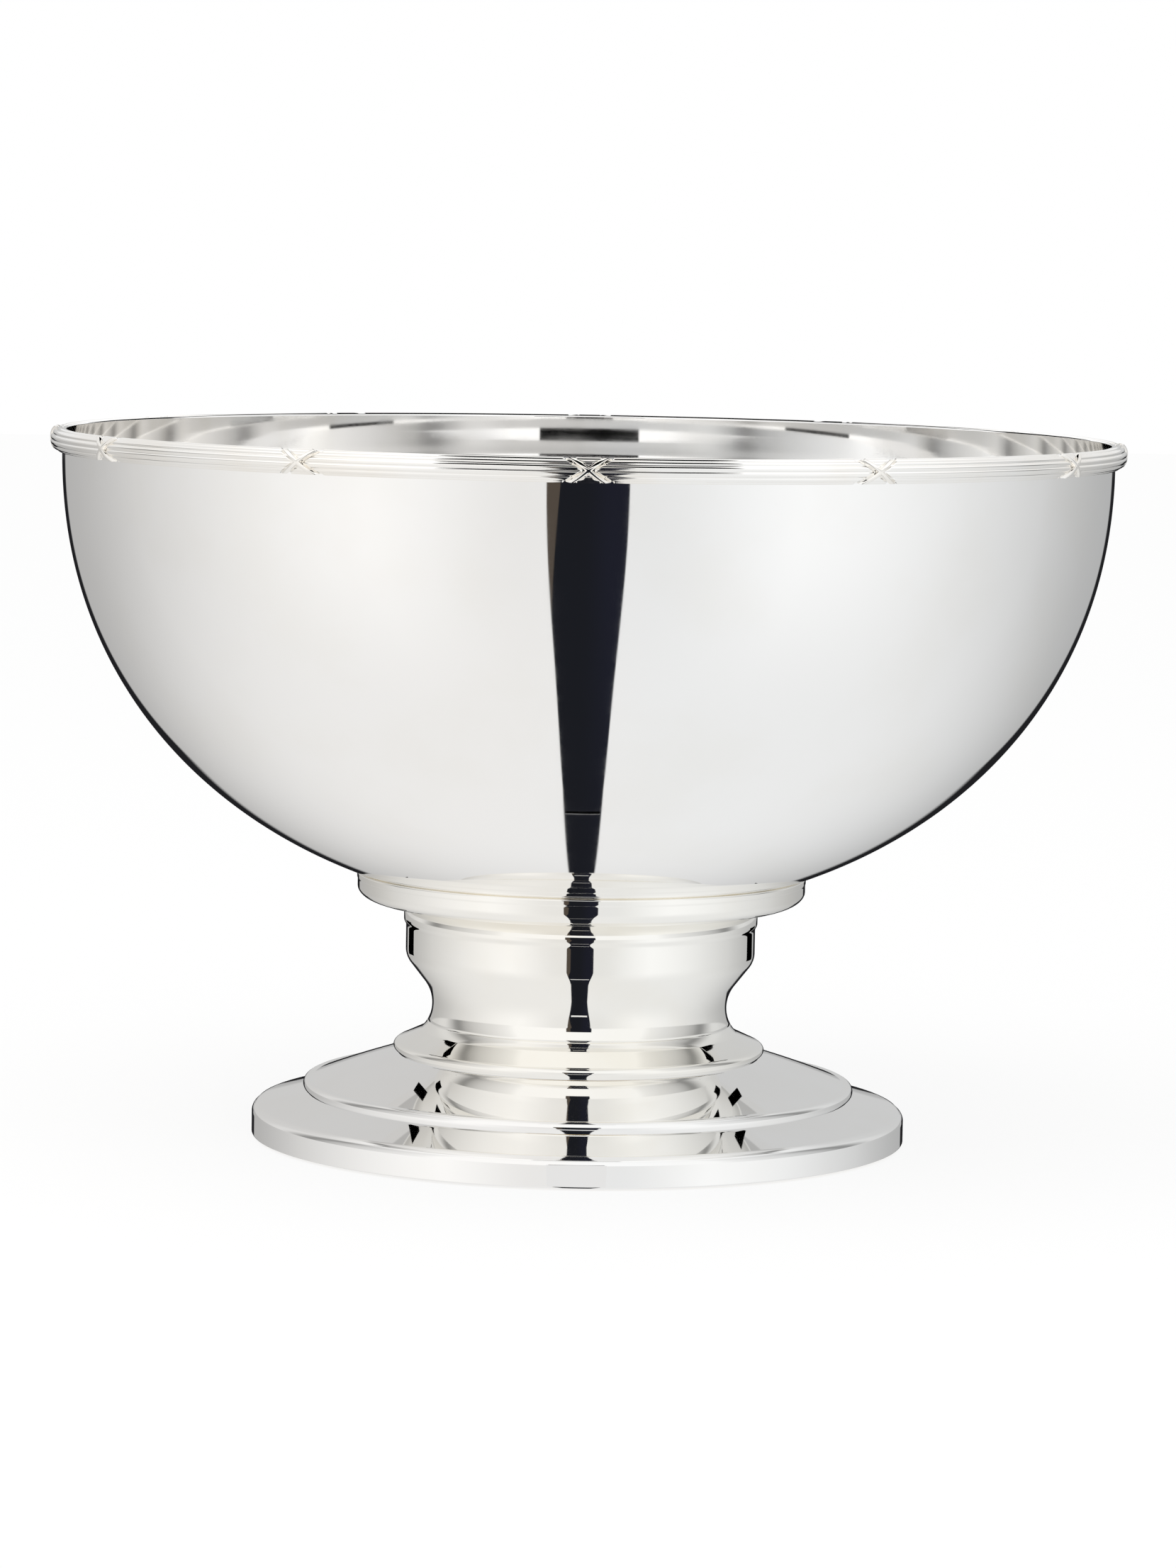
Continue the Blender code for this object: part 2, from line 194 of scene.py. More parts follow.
def felt(name, bright, dark):
    """Pressed wool felt: matted fibres, soft mottling and a pale nap."""
    material, tree, shader = new_material(name, 0.0)
    mottle = noise(tree, 260.0, detail=4.0)
    fibres = noise(tree, 1900.0, stretch=(1.0, 0.35, 1.0), detail=6.0)
    shade = compute(tree, "MULTIPLY_ADD", fibres, 0.6, compute(tree, "MULTIPLY", mottle, 0.4))
    tree.links.new(blend(tree, remap(tree, shade, 0.36, 0.64), dark, bright), shader.inputs["Base Color"])
    shader.inputs["Roughness"].default_value = 0.95
    shader.inputs["Sheen Weight"].default_value = 0.35
    shader.inputs["Sheen Roughness"].default_value = 0.6
    tree.links.new(bump(tree, shade, 0.0005), shader.inputs["Normal"])
    return material


PLATE = silver("silver_plate", (0.975, 0.969, 0.960), (0.957, 0.948, 0.930), 0.020)
WARM_PLATE = silver("foot_plate", (0.970, 0.957, 0.920), (0.946, 0.922, 0.868), 0.020)
TRIM = silver("silver_trim", (0.972, 0.962, 0.940), (0.945, 0.915, 0.865), 0.045)
BRASS = turned_metal("bare_brass", (0.80, 0.63, 0.34), (0.60, 0.43, 0.20), 0.30)
STEEL = turned_metal("zinc_steel", (0.62, 0.63, 0.65), (0.45, 0.46, 0.49), 0.36)
FELT = felt("green_felt", (0.035, 0.085, 0.058), (0.012, 0.034, 0.023))


# ------------------------------------------------------------------------------------------ turned shapes

def add_piece(name, mesh, material, slot, *nodes):
    piece = bpy.data.objects.new(name, mesh)
    bpy.context.scene.collection.objects.link(piece)
    if not mesh.materials:
        mesh.materials.append(material)
    mesh.shade_smooth()
    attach(piece, "root")
    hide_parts(*nodes)
    return piece


def mesh_from(name, bm):
    bmesh.ops.recalc_face_normals(bm, faces=bm.faces)
    mesh = bpy.data.meshes.new(name)
    bm.to_mesh(mesh)
    bm.free()
    return mesh


def arc(centre, radii, start, end, steps):
    """Points on an ellipse's arc, angles in degrees from +X towards +Z."""
    points = []
    for i in range(steps + 1):
        angle = math.radians(start + (end - start) * i / steps)
        points.append((centre[0] + radii[0] * math.cos(angle), centre[1] + radii[1] * math.sin(angle)))
    return points


def rounded(outline):
    """Round the corners of a closed outline whose points have a third number, the reach of the rounding."""
    result = []
    for i, point in enumerate(outline):
        corner = Vector(point[:2])
        if len(point) == 2:
            result.append(tuple(corner))
            continue
        before = Vector(outline[i - 1][:2]) - corner
        after = Vector(outline[(i + 1) % len(outline)][:2]) - corner
        reach = min(point[2], 0.45 * before.length, 0.45 * after.length)
        start, end = before.normalized() * reach, after.normalized() * reach
        result.append(tuple(corner + before.normalized() * min(reach + SUPPORT, 0.5 * before.length)))
        for step in range(CORNER_STEPS + 1):
            share = step / CORNER_STEPS
            result.append(tuple(corner + start * (1.0 - share) ** 2 + end * share ** 2))
        result.append(tuple(corner + after.normalized() * min(reach + SUPPORT, 0.5 * after.length)))
    return result


def turn(outline, name, segments=SEGMENTS):
    """Mesh of a closed outline of (radius, height) points turned about Z."""
    bm = bmesh.new()
    rings = []
    for radius, height in rounded(outline):
        if radius < 1e-7:
            rings.append([bm.verts.new((0.0, 0.0, height))] * segments)
            continue
        turns = [math.tau * i / segments for i in range(segments)]
        rings.append([bm.verts.new((radius * math.cos(t), radius * math.sin(t), height)) for t in turns])
    for ring, following in zip(rings, rings[1:] + rings[:1]):
        if ring[0] is ring[1] and following[0] is following[1]:
            continue
        for i in range(segments):
            j = (i + 1) % segments
            corners = [ring[i], ring[j], following[j], following[i]]
            bm.faces.new([vert for k, vert in enumerate(corners) if vert not in corners[:k]])
    return mesh_from(name, bm)


# --------------------------------------------------------------------------------------------------- bowl

BOWL_RADIUS, BOWL_BOTTOM_Z, LIP_Z = size_of("bowl_shell")
BOWL_DEPTH = EQUATOR_Z - BOWL_BOTTOM_Z


def bowl_height(radius, offset=0.0):
    """Height of the bowl's outside (moved in by offset) at a radius."""
    share = 1.0 - (radius / (BOWL_RADIUS - offset)) ** BOWL_FULLNESS
    return EQUATOR_Z - (BOWL_DEPTH - offset) * max(share, 0.0) ** (1.0 / BOWL_FULLNESS)


def bowl_curve(offset):
    """The bowl's half outline from the equator down to the axis."""
    points = []
    for i in range(BOWL_STEPS + 1):
        angle = math.radians(90.0 * i / BOWL_STEPS)
        across = max(math.cos(angle), 0.0) ** (2.0 / BOWL_FULLNESS)
        down = math.sin(angle) ** (2.0 / BOWL_FULLNESS)
        radius = 0.0 if i == BOWL_STEPS else (BOWL_RADIUS - offset) * across
        points.append((radius, EQUATOR_Z - (BOWL_DEPTH - offset) * down))
    return points


def add_bowl():
    outline = [(BOWL_RADIUS, LIP_Z, LIP_ROUNDING)] + bowl_curve(0.0) + bowl_curve(SHEET)[::-1]
    outline += [(BOWL_RADIUS - SHEET, LIP_Z, LIP_ROUNDING)]
    add_piece("bowl", turn(outline, "bowl"), PLATE, "silver_plate", "bowl_shell")


# --------------------------------------------------------------------------------- reeded border and ties

BORDER_RADIUS, BORDER_BOTTOM_Z, BORDER_TOP_Z = size_of("rim_border")
BORDER_Z = (BORDER_TOP_Z + BORDER_BOTTOM_Z) / 2
BORDER_HALF_HEIGHT = (BORDER_TOP_Z - BORDER_BOTTOM_Z) / 2
BORDER_BULGE = BORDER_RADIUS - BOWL_RADIUS


def border_point(angle, stand_off):
    """Radius and height on the border's half-round envelope, angle in degrees from its widest point."""
    turn_by = math.radians(angle)
    radius = BOWL_RADIUS + (BORDER_BULGE + stand_off) * math.cos(turn_by)
    return radius, BORDER_Z + (BORDER_HALF_HEIGHT + stand_off) * math.sin(turn_by)


def smooth_share(value):
    value = min(max(value, 0.0), 1.0)
    return value * value * (3.0 - 2.0 * value)


def relief(angle, sideways):
    """Height of the border's surface against its envelope, at a distance sideways from a tie's middle."""
    across = (angle + 90.0) / (180.0 / REEDS)
    from_middle = 2.0 * (across - math.floor(min(across, REEDS - 1e-6))) - 1.0
    reed = REED_DEPTH * (math.sqrt(max(1.0 - from_middle ** 2, 0.0)) - 1.0)
    ribbon = TIE_HALF_WIDTH * min(abs(angle) / TIE_ANGLE, TIE_REACH / TIE_ANGLE)
    away = abs(abs(sideways) - ribbon)
    share = smooth_share((away - RECESS_REACH) / RECESS_FADE)
    return reed * share - RECESS_DEPTH * (1.0 - share)


def border_places():
    """Distances round the border from a tie's middle, closest near it, up to halfway to the next tie."""
    half_gap = math.pi * BORDER_RADIUS / TIES
    near = [NEAR_STEP * i for i in range(NEAR_STEPS)]
    far = [near[-1] + (half_gap - near[-1]) * (i / FAR_STEPS) ** FAR_GROWTH for i in range(1, FAR_STEPS + 1)]
    right = near + far
    return [-place for place in right[:0:-1]] + right[:-1]


def add_border():
    bm = bmesh.new()
    angles = [90.0 - 180.0 * i / (REEDS * REED_STEPS) for i in range(REEDS * REED_STEPS + 1)]
    rings = []
    for tie in range(TIES):
        for place in border_places():
            turned_by = math.tau * tie / TIES - math.pi / 2 + place / BORDER_RADIUS
            loop = [border_point(angle, relief(angle, place)) for angle in angles]
            loop += [(BOWL_RADIUS - BORDER_WALL, loop[-1][1]), (BOWL_RADIUS - BORDER_WALL, loop[0][1])]
            along, aside = math.cos(turned_by), math.sin(turned_by)
            rings.append([bm.verts.new((radius * along, radius * aside, height)) for radius, height in loop])
    for ring, following in zip(rings, rings[1:] + rings[:1]):
        for i in range(len(ring)):
            bm.faces.new((ring[i - 1], ring[i], following[i], following[i - 1]))
    add_piece("reeded_border", mesh_from("reeded_border", bm), TRIM, "silver_plate", "rim_border")


def ribbon_section():
    """Across one ribbon: (sideways, height above the border's envelope), a flat bar with bevelled edges."""
    half, low, high = RIBBON_HALF_WIDTH, RIBBON_BOTTOM, RIBBON_TOP
    right = [(half, low), (half, high * 0.45), (half * 0.93, high * 0.72), (half * 0.78, high * 0.90)]
    right += [(half * 0.55, high * 0.97), (half * 0.25, high)]
    return right + [(-x, z) for x, z in right[::-1]]


def ribbon_mesh(name, side):
    """One ribbon of a tie: a bar that climbs over the half-round border from one side to the other."""
    bm = bmesh.new()
    rows = []
    section = ribbon_section()
    for i in range(RIBBON_STEPS + 1):
        angle = TIE_REACH * (2.0 * i / RIBBON_STEPS - 1.0)
        middle = side * TIE_HALF_WIDTH * angle / TIE_ANGLE
        end = min(i, RIBBON_STEPS - i)
        drop = 0.0 if end > 1 else RIBBON_END_DROP * (2 - end)
        row = []
        for sideways, stand_off in section:
            radius, height = border_point(angle, stand_off - (drop if stand_off > 0 else 0.0))
            row.append(bm.verts.new((radius, middle + sideways, height)))
        rows.append(row)
    count = len(section)
    for low, high in zip(rows, rows[1:]):
        for i in range(count):
            bm.faces.new((low[i], low[(i + 1) % count], high[(i + 1) % count], high[i]))
    bm.faces.new(rows[0][::-1])
    bm.faces.new(rows[-1])
    return mesh_from(name, bm)


def tie_mesh():
    """Both ribbons of a tie, joined where they cross."""
    pair = [bpy.data.objects.new(f"ribbon_{side}", ribbon_mesh(f"ribbon_{side}", side)) for side in (1, -1)]
    for obj in pair:
        bpy.context.scene.collection.objects.link(obj)
    union = pair[0].modifiers.new("cross", "BOOLEAN")
    union.operation = "UNION"
    union.object = pair[1]
    graph = bpy.context.evaluated_depsgraph_get()
    mesh = bpy.data.meshes.new_from_object(pair[0].evaluated_get(graph))
    for obj in pair:
        bpy.data.objects.remove(obj, do_unlink=True)
    mesh.name = "ribbon_tie"
    return mesh


def add_ties():
    mesh = tie_mesh()
    for i in range(TIES):
        tie = add_piece(f"tie_{i + 1:02d}", mesh, TRIM, "silver_trim", f"ribbon_tie_{i + 1:02d}")
        tie.rotation_euler.z = math.tau * i / TIES - math.pi / 2
    mesh.set_sharp_from_angle(angle=math.radians(40))


# ----------------------------------------------------------------------------------------------- pedestal

COLLAR_RADIUS, COLLAR_BOTTOM_Z, _ = size_of("bowl_collar")
COLLAR_WALL_RISE = 0.0056      # from the collar's underside up to its wall
COLLAR_BEAD = 0.0002           # how far the bead at the top of the wall stands out
COLLAR_BEAD_HEIGHT = 0.0020
COLLAR_ROUND_RADIUS = 0.0706   # where the round under the wall has its middle
COLLAR_ROUND_HEIGHT = 0.0052
COLLAR_FACE_RADIUS = 0.0670    # outer edge of the flat underside
COLLAR_STEPS = 24
DRUM_LIP_RADIUS, _, _ = size_of("neck_drum")
DRUM_RADIUS = DRUM_LIP_RADIUS - 0.0008
LIP_BOTTOM_Z = 0.0772
DRUM_TOP_Z = 0.0757
DRUM_BOTTOM_Z = 0.0670
DRUM_ROUND = 0.0078
WAIST_RADIUS = 0.0526
WAIST_Z = 0.0470
WAIST_ROUND = 0.0142
WAIST_SLOPE = 38.0        # slope between the round and the hollow, in degrees from upright
SEAM_Z = 0.0412
FLARE_RADIUS = 0.0128
BORE = 0.0500
DOME_RADIUS, DOME_BOTTOM_Z, SPIGOT_TOP_Z = size_of("foot_dome")
DOME_BORE = 0.0560
DOME_WALL = 0.0020
SPIGOT_GAP = 0.0002            # between the spigot and the inside of the neck
RING_ROUND = (0.0027, 0.0021)  # half width and half height of the dome's round rim
TIER_RADIUS, _, TIER_TOP_Z = size_of("foot_tier")
TIER_SHOULDER = 0.0676         # where the tier's slope meets its flange
TIER_EDGE_Z = 0.0198
TIER_SLOPE = 0.34              # rise per metre inwards
TIER_CROWN = 0.0003            # how much fuller the slope is in its middle
TIER_ROUND = (0.0024, 0.0023)
BASE_RADIUS, BAND_BOTTOM_Z, BASE_TOP_Z = size_of("foot_base")
BASE_SHOULDER = 0.0955         # outer edge of the base's flange
BASE_SLOPE_RADIUS = 0.0975     # inner edge of its slope
BASE_SLOPE = 0.27
BASE_ROUND = (0.0026, 0.0027)
BAND_TOP_Z = 0.0080
FLANGE_RADIUS = 0.0800         # inner edge of the base's flange

# Fastening
STUD_BORE = 0.0044             # hole for the stud
THREAD_PITCH = 0.00125
THREAD_DEPTH = 0.0007
THREAD_LENGTH = 0.018          # at each end of the stud
THREAD_INSET = 0.0006          # plain rod before the first ring
NUT_SEGMENTS = 48
NUT_CHAMFER = 0.0010


def add_collar():
    """Ring under the bowl: a seat that follows its curve, a bead, an upright wall and a round."""
    wall_bottom = COLLAR_BOTTOM_Z + COLLAR_WALL_RISE
    width = COLLAR_RADIUS - 0.0010 - BORE
    seat = [BORE + width * i / COLLAR_STEPS for i in range(COLLAR_STEPS + 1)]
    seat = [(radius, bowl_height(radius) + SEAT) for radius in seat]
    top, bead = seat[-1][1], COLLAR_RADIUS + COLLAR_BEAD
    outline = seat + [(bead, top - 0.0001, 0.0010), (bead, top - COLLAR_BEAD_HEIGHT, 0.0006)]
    outline.append((COLLAR_RADIUS, top - COLLAR_BEAD_HEIGHT - 0.0006, 0.0004))
    reach = (COLLAR_RADIUS - COLLAR_ROUND_RADIUS, COLLAR_ROUND_HEIGHT)
    outline += arc((COLLAR_ROUND_RADIUS, wall_bottom), reach, 0, -75, 20)
    outline += [(COLLAR_FACE_RADIUS, COLLAR_BOTTOM_Z, 0.0010), (BORE, COLLAR_BOTTOM_Z)]
    add_piece("collar", turn(outline, "collar"), WARM_PLATE, "silver_plate", "bowl_collar")


def flare_radius(height, offset=0.0):
    """Radius of the flare below the waist, moved inwards by offset."""
    reach = FLARE_RADIUS + offset
    return WAIST_RADIUS + FLARE_RADIUS - math.sqrt(reach ** 2 - (WAIST_Z - height) ** 2)


def neck_outside(offset):
    """The neck's outline from under its lip to the seam, moved inwards by offset."""
    round_by, hollow = DRUM_ROUND - offset, WAIST_ROUND + offset
    points = [(DRUM_RADIUS - offset, DRUM_BOTTOM_Z + 0.0012)]
    points += arc((DRUM_RADIUS - DRUM_ROUND, DRUM_BOTTOM_Z), (round_by, round_by), 0, -WAIST_SLOPE, 14)
    points += arc((WAIST_RADIUS + WAIST_ROUND, WAIST_Z), (hollow, hollow), 180 - WAIST_SLOPE, 180, 22)
    heights = [WAIST_Z - 0.001 * i for i in range(1, 6)] + [SEAM_Z]
    return points + [(flare_radius(height, offset), height) for height in heights]


def add_neck():
    """Stem shell: a lip, an upright drum, a round and the waist."""
    top = COLLAR_BOTTOM_Z + SEAT
    lip = [(DRUM_LIP_RADIUS, top), (DRUM_LIP_RADIUS, LIP_BOTTOM_Z, 0.0005), (DRUM_RADIUS, DRUM_TOP_Z, 0.0006)]
    inside = neck_outside(SHEET)[::-1] + [(DRUM_RADIUS - SHEET, top - SHEET), (BORE, top - SHEET)]
    outline = [(BORE, top)] + lip + neck_outside(0.0) + inside
    add_piece("neck", turn(outline, "neck"), WARM_PLATE, "silver_plate", "neck_drum")


def add_dome():
    """Upper foot: a spigot inside the neck, a flare, and the small top ring."""
    bottom = TIER_TOP_Z - SEAT
    spigot = WAIST_RADIUS - SHEET - SPIGOT_GAP
    flare = [(flare_radius(SEAM_Z - 0.0005 * i), SEAM_Z - 0.0005 * i) for i in range(8)]
    ring = arc((DOME_RADIUS - RING_ROUND[0], DOME_BOTTOM_Z + RING_ROUND[1]), RING_ROUND, 68, -60, 18)
    ring.append((ring[-1][0] - 0.0003, bottom))
    inner = [(flare_radius(SEAM_Z - drop, DOME_WALL), SEAM_Z - drop) for drop in (0.0040, 0.0025, 0.0010)]
    outline = [(spigot, SPIGOT_TOP_Z, 0.0004), (spigot, SEAM_Z)] + flare + ring
    outline += [(DOME_BORE, bottom), (DOME_BORE, DOME_BOTTOM_Z + 0.0015), (0.0628, DOME_BOTTOM_Z + 0.0015)]
    outline += [(0.0622, DOME_BOTTOM_Z + 0.0030)] + inner
    outline += [(spigot - SHEET, SEAM_Z + 0.0005), (spigot - SHEET, SPIGOT_TOP_Z, 0.0004)]
    add_piece("dome", turn(outline, "dome"), WARM_PLATE, "silver_plate", "foot_dome")


def rising_slope(edge_radius, edge_height, inner_radius, rise, crown, steps):
    """A shallow cone top that rises inwards from its edge, a little fuller in the middle."""
    points = []
    width = edge_radius - inner_radius
    for i in range(steps + 1):
        share = 1.0 - i / steps
        height = edge_height + rise * width * share + crown * 4.0 * share * (1.0 - share)
        points.append((edge_radius - width * share, height))
    return points


def add_tier():
    """Second foot shell: flange under the dome, a rising slope and a rounded edge."""
    top, bottom = TIER_TOP_Z, BASE_TOP_Z - SEAT
    rim = TIER_RADIUS - TIER_ROUND[0]
    slope = rising_slope(rim - 0.0004, TIER_EDGE_Z, TIER_SHOULDER, TIER_SLOPE, TIER_CROWN, 30)
    edge = arc((rim, TIER_EDGE_Z - 0.0018), TIER_ROUND, 66, -50, 18)
    inside = rising_slope(rim - 0.0010, TIER_EDGE_Z - 0.0016, TIER_SHOULDER, TIER_SLOPE, TIER_CROWN, 6)[::-1]
    outline = [(BORE, top), (TIER_SHOULDER - 0.0012, top, 0.0004)] + slope + edge
    outline += [(TIER_RADIUS - 0.0012, bottom), (rim, bottom), (rim, TIER_EDGE_Z - 0.0024)] + inside
    outline += [(TIER_SHOULDER - 0.0018, top - SHEET), (BORE, top - SHEET)]
    add_piece("tier", turn(outline, "tier"), PLATE, "silver_plate", "foot_tier")


def add_base():
    """Lowest foot shell: flange under the tier, a shallow slope, a round shoulder and the upright band."""
    top = BASE_TOP_Z
    edge, inner = BAND_TOP_Z + 0.0030, BASE_SLOPE_RADIUS
    slope = rising_slope(BASE_RADIUS - 0.0019, edge, inner, BASE_SLOPE, 0.0, 16)
    shoulder = arc((BASE_RADIUS - BASE_ROUND[0], BAND_TOP_Z), BASE_ROUND, 58, 0, 14)
    inside = rising_slope(BASE_RADIUS - 0.0029, edge - 0.0016, inner, BASE_SLOPE, 0.0, 4)[::-1]
    outline = [(FLANGE_RADIUS, top), (BASE_SHOULDER, top, 0.0004)] + slope + shoulder
    outline += [(BASE_RADIUS, BAND_TOP_Z - 0.0003), (BASE_RADIUS, BAND_BOTTOM_Z, 0.0005)]
    outline += [(BASE_RADIUS - SHEET, BAND_BOTTOM_Z, 0.0003), (BASE_RADIUS - SHEET, BAND_TOP_Z - 0.0004)]
    outline += inside + [(BASE_SHOULDER - 0.0007, top - SHEET), (FLANGE_RADIUS, top - SHEET)]
    add_piece("base", turn(outline, "base"), PLATE, "silver_plate", "foot_base")


# ---------------------------------------------------------------------------- fastening and the underside

def add_tube(name, node, bore, material, slot, rounding, segments=SMALL_SEGMENTS):
    """A turned ring or disc with rounded outer edges, as large as its node."""
    radius, bottom, top = size_of(node)
    outline = [(bore, bottom), (bore, top), (radius, top, rounding), (radius, bottom, rounding)]
    add_piece(name, turn(outline, name, segments), material, slot, node)


def add_boss():
    """Disc under the bowl, its top following the bowl's curve."""
    radius, bottom, _ = size_of("bowl_boss")
    seat = [STUD_BORE + (radius - 0.0004 - STUD_BORE) * i / 12 for i in range(13)]
    outline = [(r, bowl_height(r) - 0.0004) for r in seat]
    outline += [(radius, bowl_height(radius) - 0.0008, 0.0003), (radius, bottom, 0.0012), (STUD_BORE, bottom)]
    add_piece("boss", turn(outline, "boss", SMALL_SEGMENTS), BRASS, "bare_brass", "bowl_boss")


def add_stud():
    """Threaded rod: plain in the middle, rolled rings of thread at both ends."""
    radius, bottom, top = size_of("tie_stud")
    root = radius - THREAD_DEPTH
    outline = [(0.0, bottom), (root, bottom)]
    turns = int(THREAD_LENGTH / THREAD_PITCH)
    for start in (bottom + THREAD_INSET, top - THREAD_INSET - turns * THREAD_PITCH):
        for i in range(turns):
            low = start + i * THREAD_PITCH
            outline += [(root, low), (radius, low + 0.45 * THREAD_PITCH), (radius, low + 0.55 * THREAD_PITCH)]
        outline.append((root, start + turns * THREAD_PITCH))
    outline += [(root, top), (0.0, top)]
    add_piece("stud", turn(outline, "stud", 48), STEEL, "steel", "tie_stud")


def add_nut():
    """Hexagon nut with chamfered corners and a round bore, turned the way its node is."""
    low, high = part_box("tie_nut")
    half_x, half_y = (high.x - low.x) / 2, (high.y - low.y) / 2
    flat = min(half_x, half_y)
    turned_by = 0.0 if half_x > half_y else math.pi / 6
    levels = [(low.z, None), (low.z, 0.94), (low.z + NUT_CHAMFER, 1.2)]      # (height, widest share of flat)
    levels += [(high.z - NUT_CHAMFER, 1.2), (high.z, 0.94), (high.z, None)]  # None is the bore
    bm = bmesh.new()
    rings = []
    for height, widest in levels:
        ring = []
        for i in range(NUT_SEGMENTS):
            angle = math.tau * i / NUT_SEGMENTS
            from_flat = (angle + turned_by) % (math.pi / 3) - math.pi / 6
            radius = STUD_BORE if widest is None else min(flat / math.cos(from_flat), flat * widest)
            ring.append(bm.verts.new((radius * math.cos(angle), radius * math.sin(angle), height)))
        rings.append(ring)
    for ring, following in zip(rings, rings[1:] + rings[:1]):
        for i in range(NUT_SEGMENTS):
            j = (i + 1) % NUT_SEGMENTS
            bm.faces.new((ring[i], ring[j], following[j], following[i]))
    piece = add_piece("nut", mesh_from("nut", bm), BRASS, "bare_brass", "tie_nut")
    piece.data.set_sharp_from_angle(angle=math.radians(25))


def add_fastening():
    add_boss()
    add_stud()
    add_nut()
    add_tube("spacer", "stem_spacer", STUD_BORE, BRASS, "bare_brass", 0.0006)
    add_tube("bridge", "foot_bridge", STUD_BORE, STEEL, "steel", 0.0005, SEGMENTS)
    add_tube("washer", "lock_washer", STUD_BORE, STEEL, "steel", 0.0004)


def add_underside():
    """Wire in the band's lower edge, the closing plate inside it and the felt under the plate."""
    radius, bottom, top = size_of("base_wire")
    wire = (top - bottom) / 2
    outline = arc((radius - wire, bottom + wire), (wire, wire), 0, 345, 23)
    add_piece("wire", turn(outline, "wire"), BRASS, "bare_brass", "base_wire")
    radius, bottom, top = size_of("base_plate")
    outline = [(0.0, bottom), (0.0, top), (radius, top, 0.0003), (radius, bottom, 0.0003)]
    add_piece("plate", turn(outline, "plate"), STEEL, "steel", "base_plate")
    radius, bottom, top = size_of("felt_pad")
    outline = [(0.0, bottom), (0.0, top), (radius, top, 0.0004), (radius, bottom, 0.0006)]
    pad = add_piece("felt", turn(outline, "felt"), FELT, "felt", "felt_pad")


# ------------------------------------------------------------------------------------------------- studio

# Brightness of the tent round the object, as (share of the way from front to back, brightness), set so that
# the plate shows the tones of the reference view
FRONT_TO_BACK = (
    (0.000, 0.86), (0.078, 0.81), (0.150, 0.88), (0.235, 0.99), (0.285, 1.00), (0.390, 0.92),
    (0.500, 0.81), (0.640, 0.64), (0.720, 0.55), (0.800, 0.48), (0.880, 0.45))

UPPER_FRONT_TO_BACK = (   # the same above the horizon
    (0.000, 1.10), (0.250, 1.10), (0.320, 0.88), (0.430, 0.70), (0.500, 0.60), (0.560, 0.42),
    (0.600, 0.22), (0.640, 0.40), (0.700, 0.80), (0.790, 0.62), (1.000, 0.60))

GROUND = 0.86             # brightness straight down
CEILING = 0.97            # straight up
LEFT_TINT = (1.0, 0.992, 0.980)
RIGHT_TINT = (0.985, 0.995, 1.0)

# Dark gap in the tent, in the units of a direction one long
GAP_HALF_WIDTH = 0.0485
GAP_WIDENING = 0.0659     # towards the front
GAP_FLARE = 0.04          # more of it, close to straight ahead only
GAP_NARROWING = 0.050     # towards the back
GAP_ABOVE = 1.12          # times as wide above the horizon
GAP_TOP = (0.205, 0.235)  # heights between which it fades out
EDGE = 0.0015             # half the blur of its edges
BROWN_WIDTH = 0.058       # of the brown stretch along its left edge, at the horizon
BROWN_BOTTOM = -0.57      # height at which that stretch has narrowed to nothing
BROWN = (0.083, 0.067, 0.054)
BLUE_LEFT = (0.011, 0.012, 0.016)
BLUE_RIGHT = (0.013, 0.014, 0.023)
DARK_BACK = (0.014, 0.014, 0.016)

NOT_REFLECTED = (
    "dome", "tier", "base", "wire", "plate", "felt", "bridge", "washer", "nut", "stud", "spacer")

# Camera: place, millimetres of lens, and degrees of pan, dip and roll
CAMERA_PLACE = (0.0, -2.026, 0.3317)
LENS = 131.24
CAMERA_PAN = -0.049
CAMERA_DIP = 5.788
CAMERA_ROLL = 1.007

# Cards, seen only in reflections
RIM_CARD_RADIUS = 0.218
RIM_CARD_LEVELS = (0.262, 0.640)
RIM_CARD_SEGMENTS = 96
RIM_DARK_BACK = 0.100     # half width of its dark stretch at the back
RIM_DARK_FRONT = 0.068    # and at the front
RIM_DARK_FRONT_TOP = 0.345
FOOT_CARD_HALF_WIDTH = 0.0105
FOOT_CARD_HEIGHT = 0.0086
FOOT_CARD_Y = (-0.1192, -0.1171)   # of its lower and its upper edge
NECK_CARD_LOW = (0.0685, 0.0052, 0.0625)
NECK_CARD_HIGH = (0.0707, -0.0041, 0.0760)


def brightness_ramp(tree, share, stops_wanted):
    ramp = add_node(tree, "ShaderNodeValToRGB")
    ramp.color_ramp.interpolation = "B_SPLINE"
    stops = ramp.color_ramp.elements
    for i, (position, brightness) in enumerate(stops_wanted):
        stop = stops[i] if i < 2 else stops.new(position)
        stop.position = position
        stop.color = (brightness, brightness, brightness, 1.0)
    tree.links.new(share, ramp.inputs["Fac"])
    return ramp.outputs["Color"]


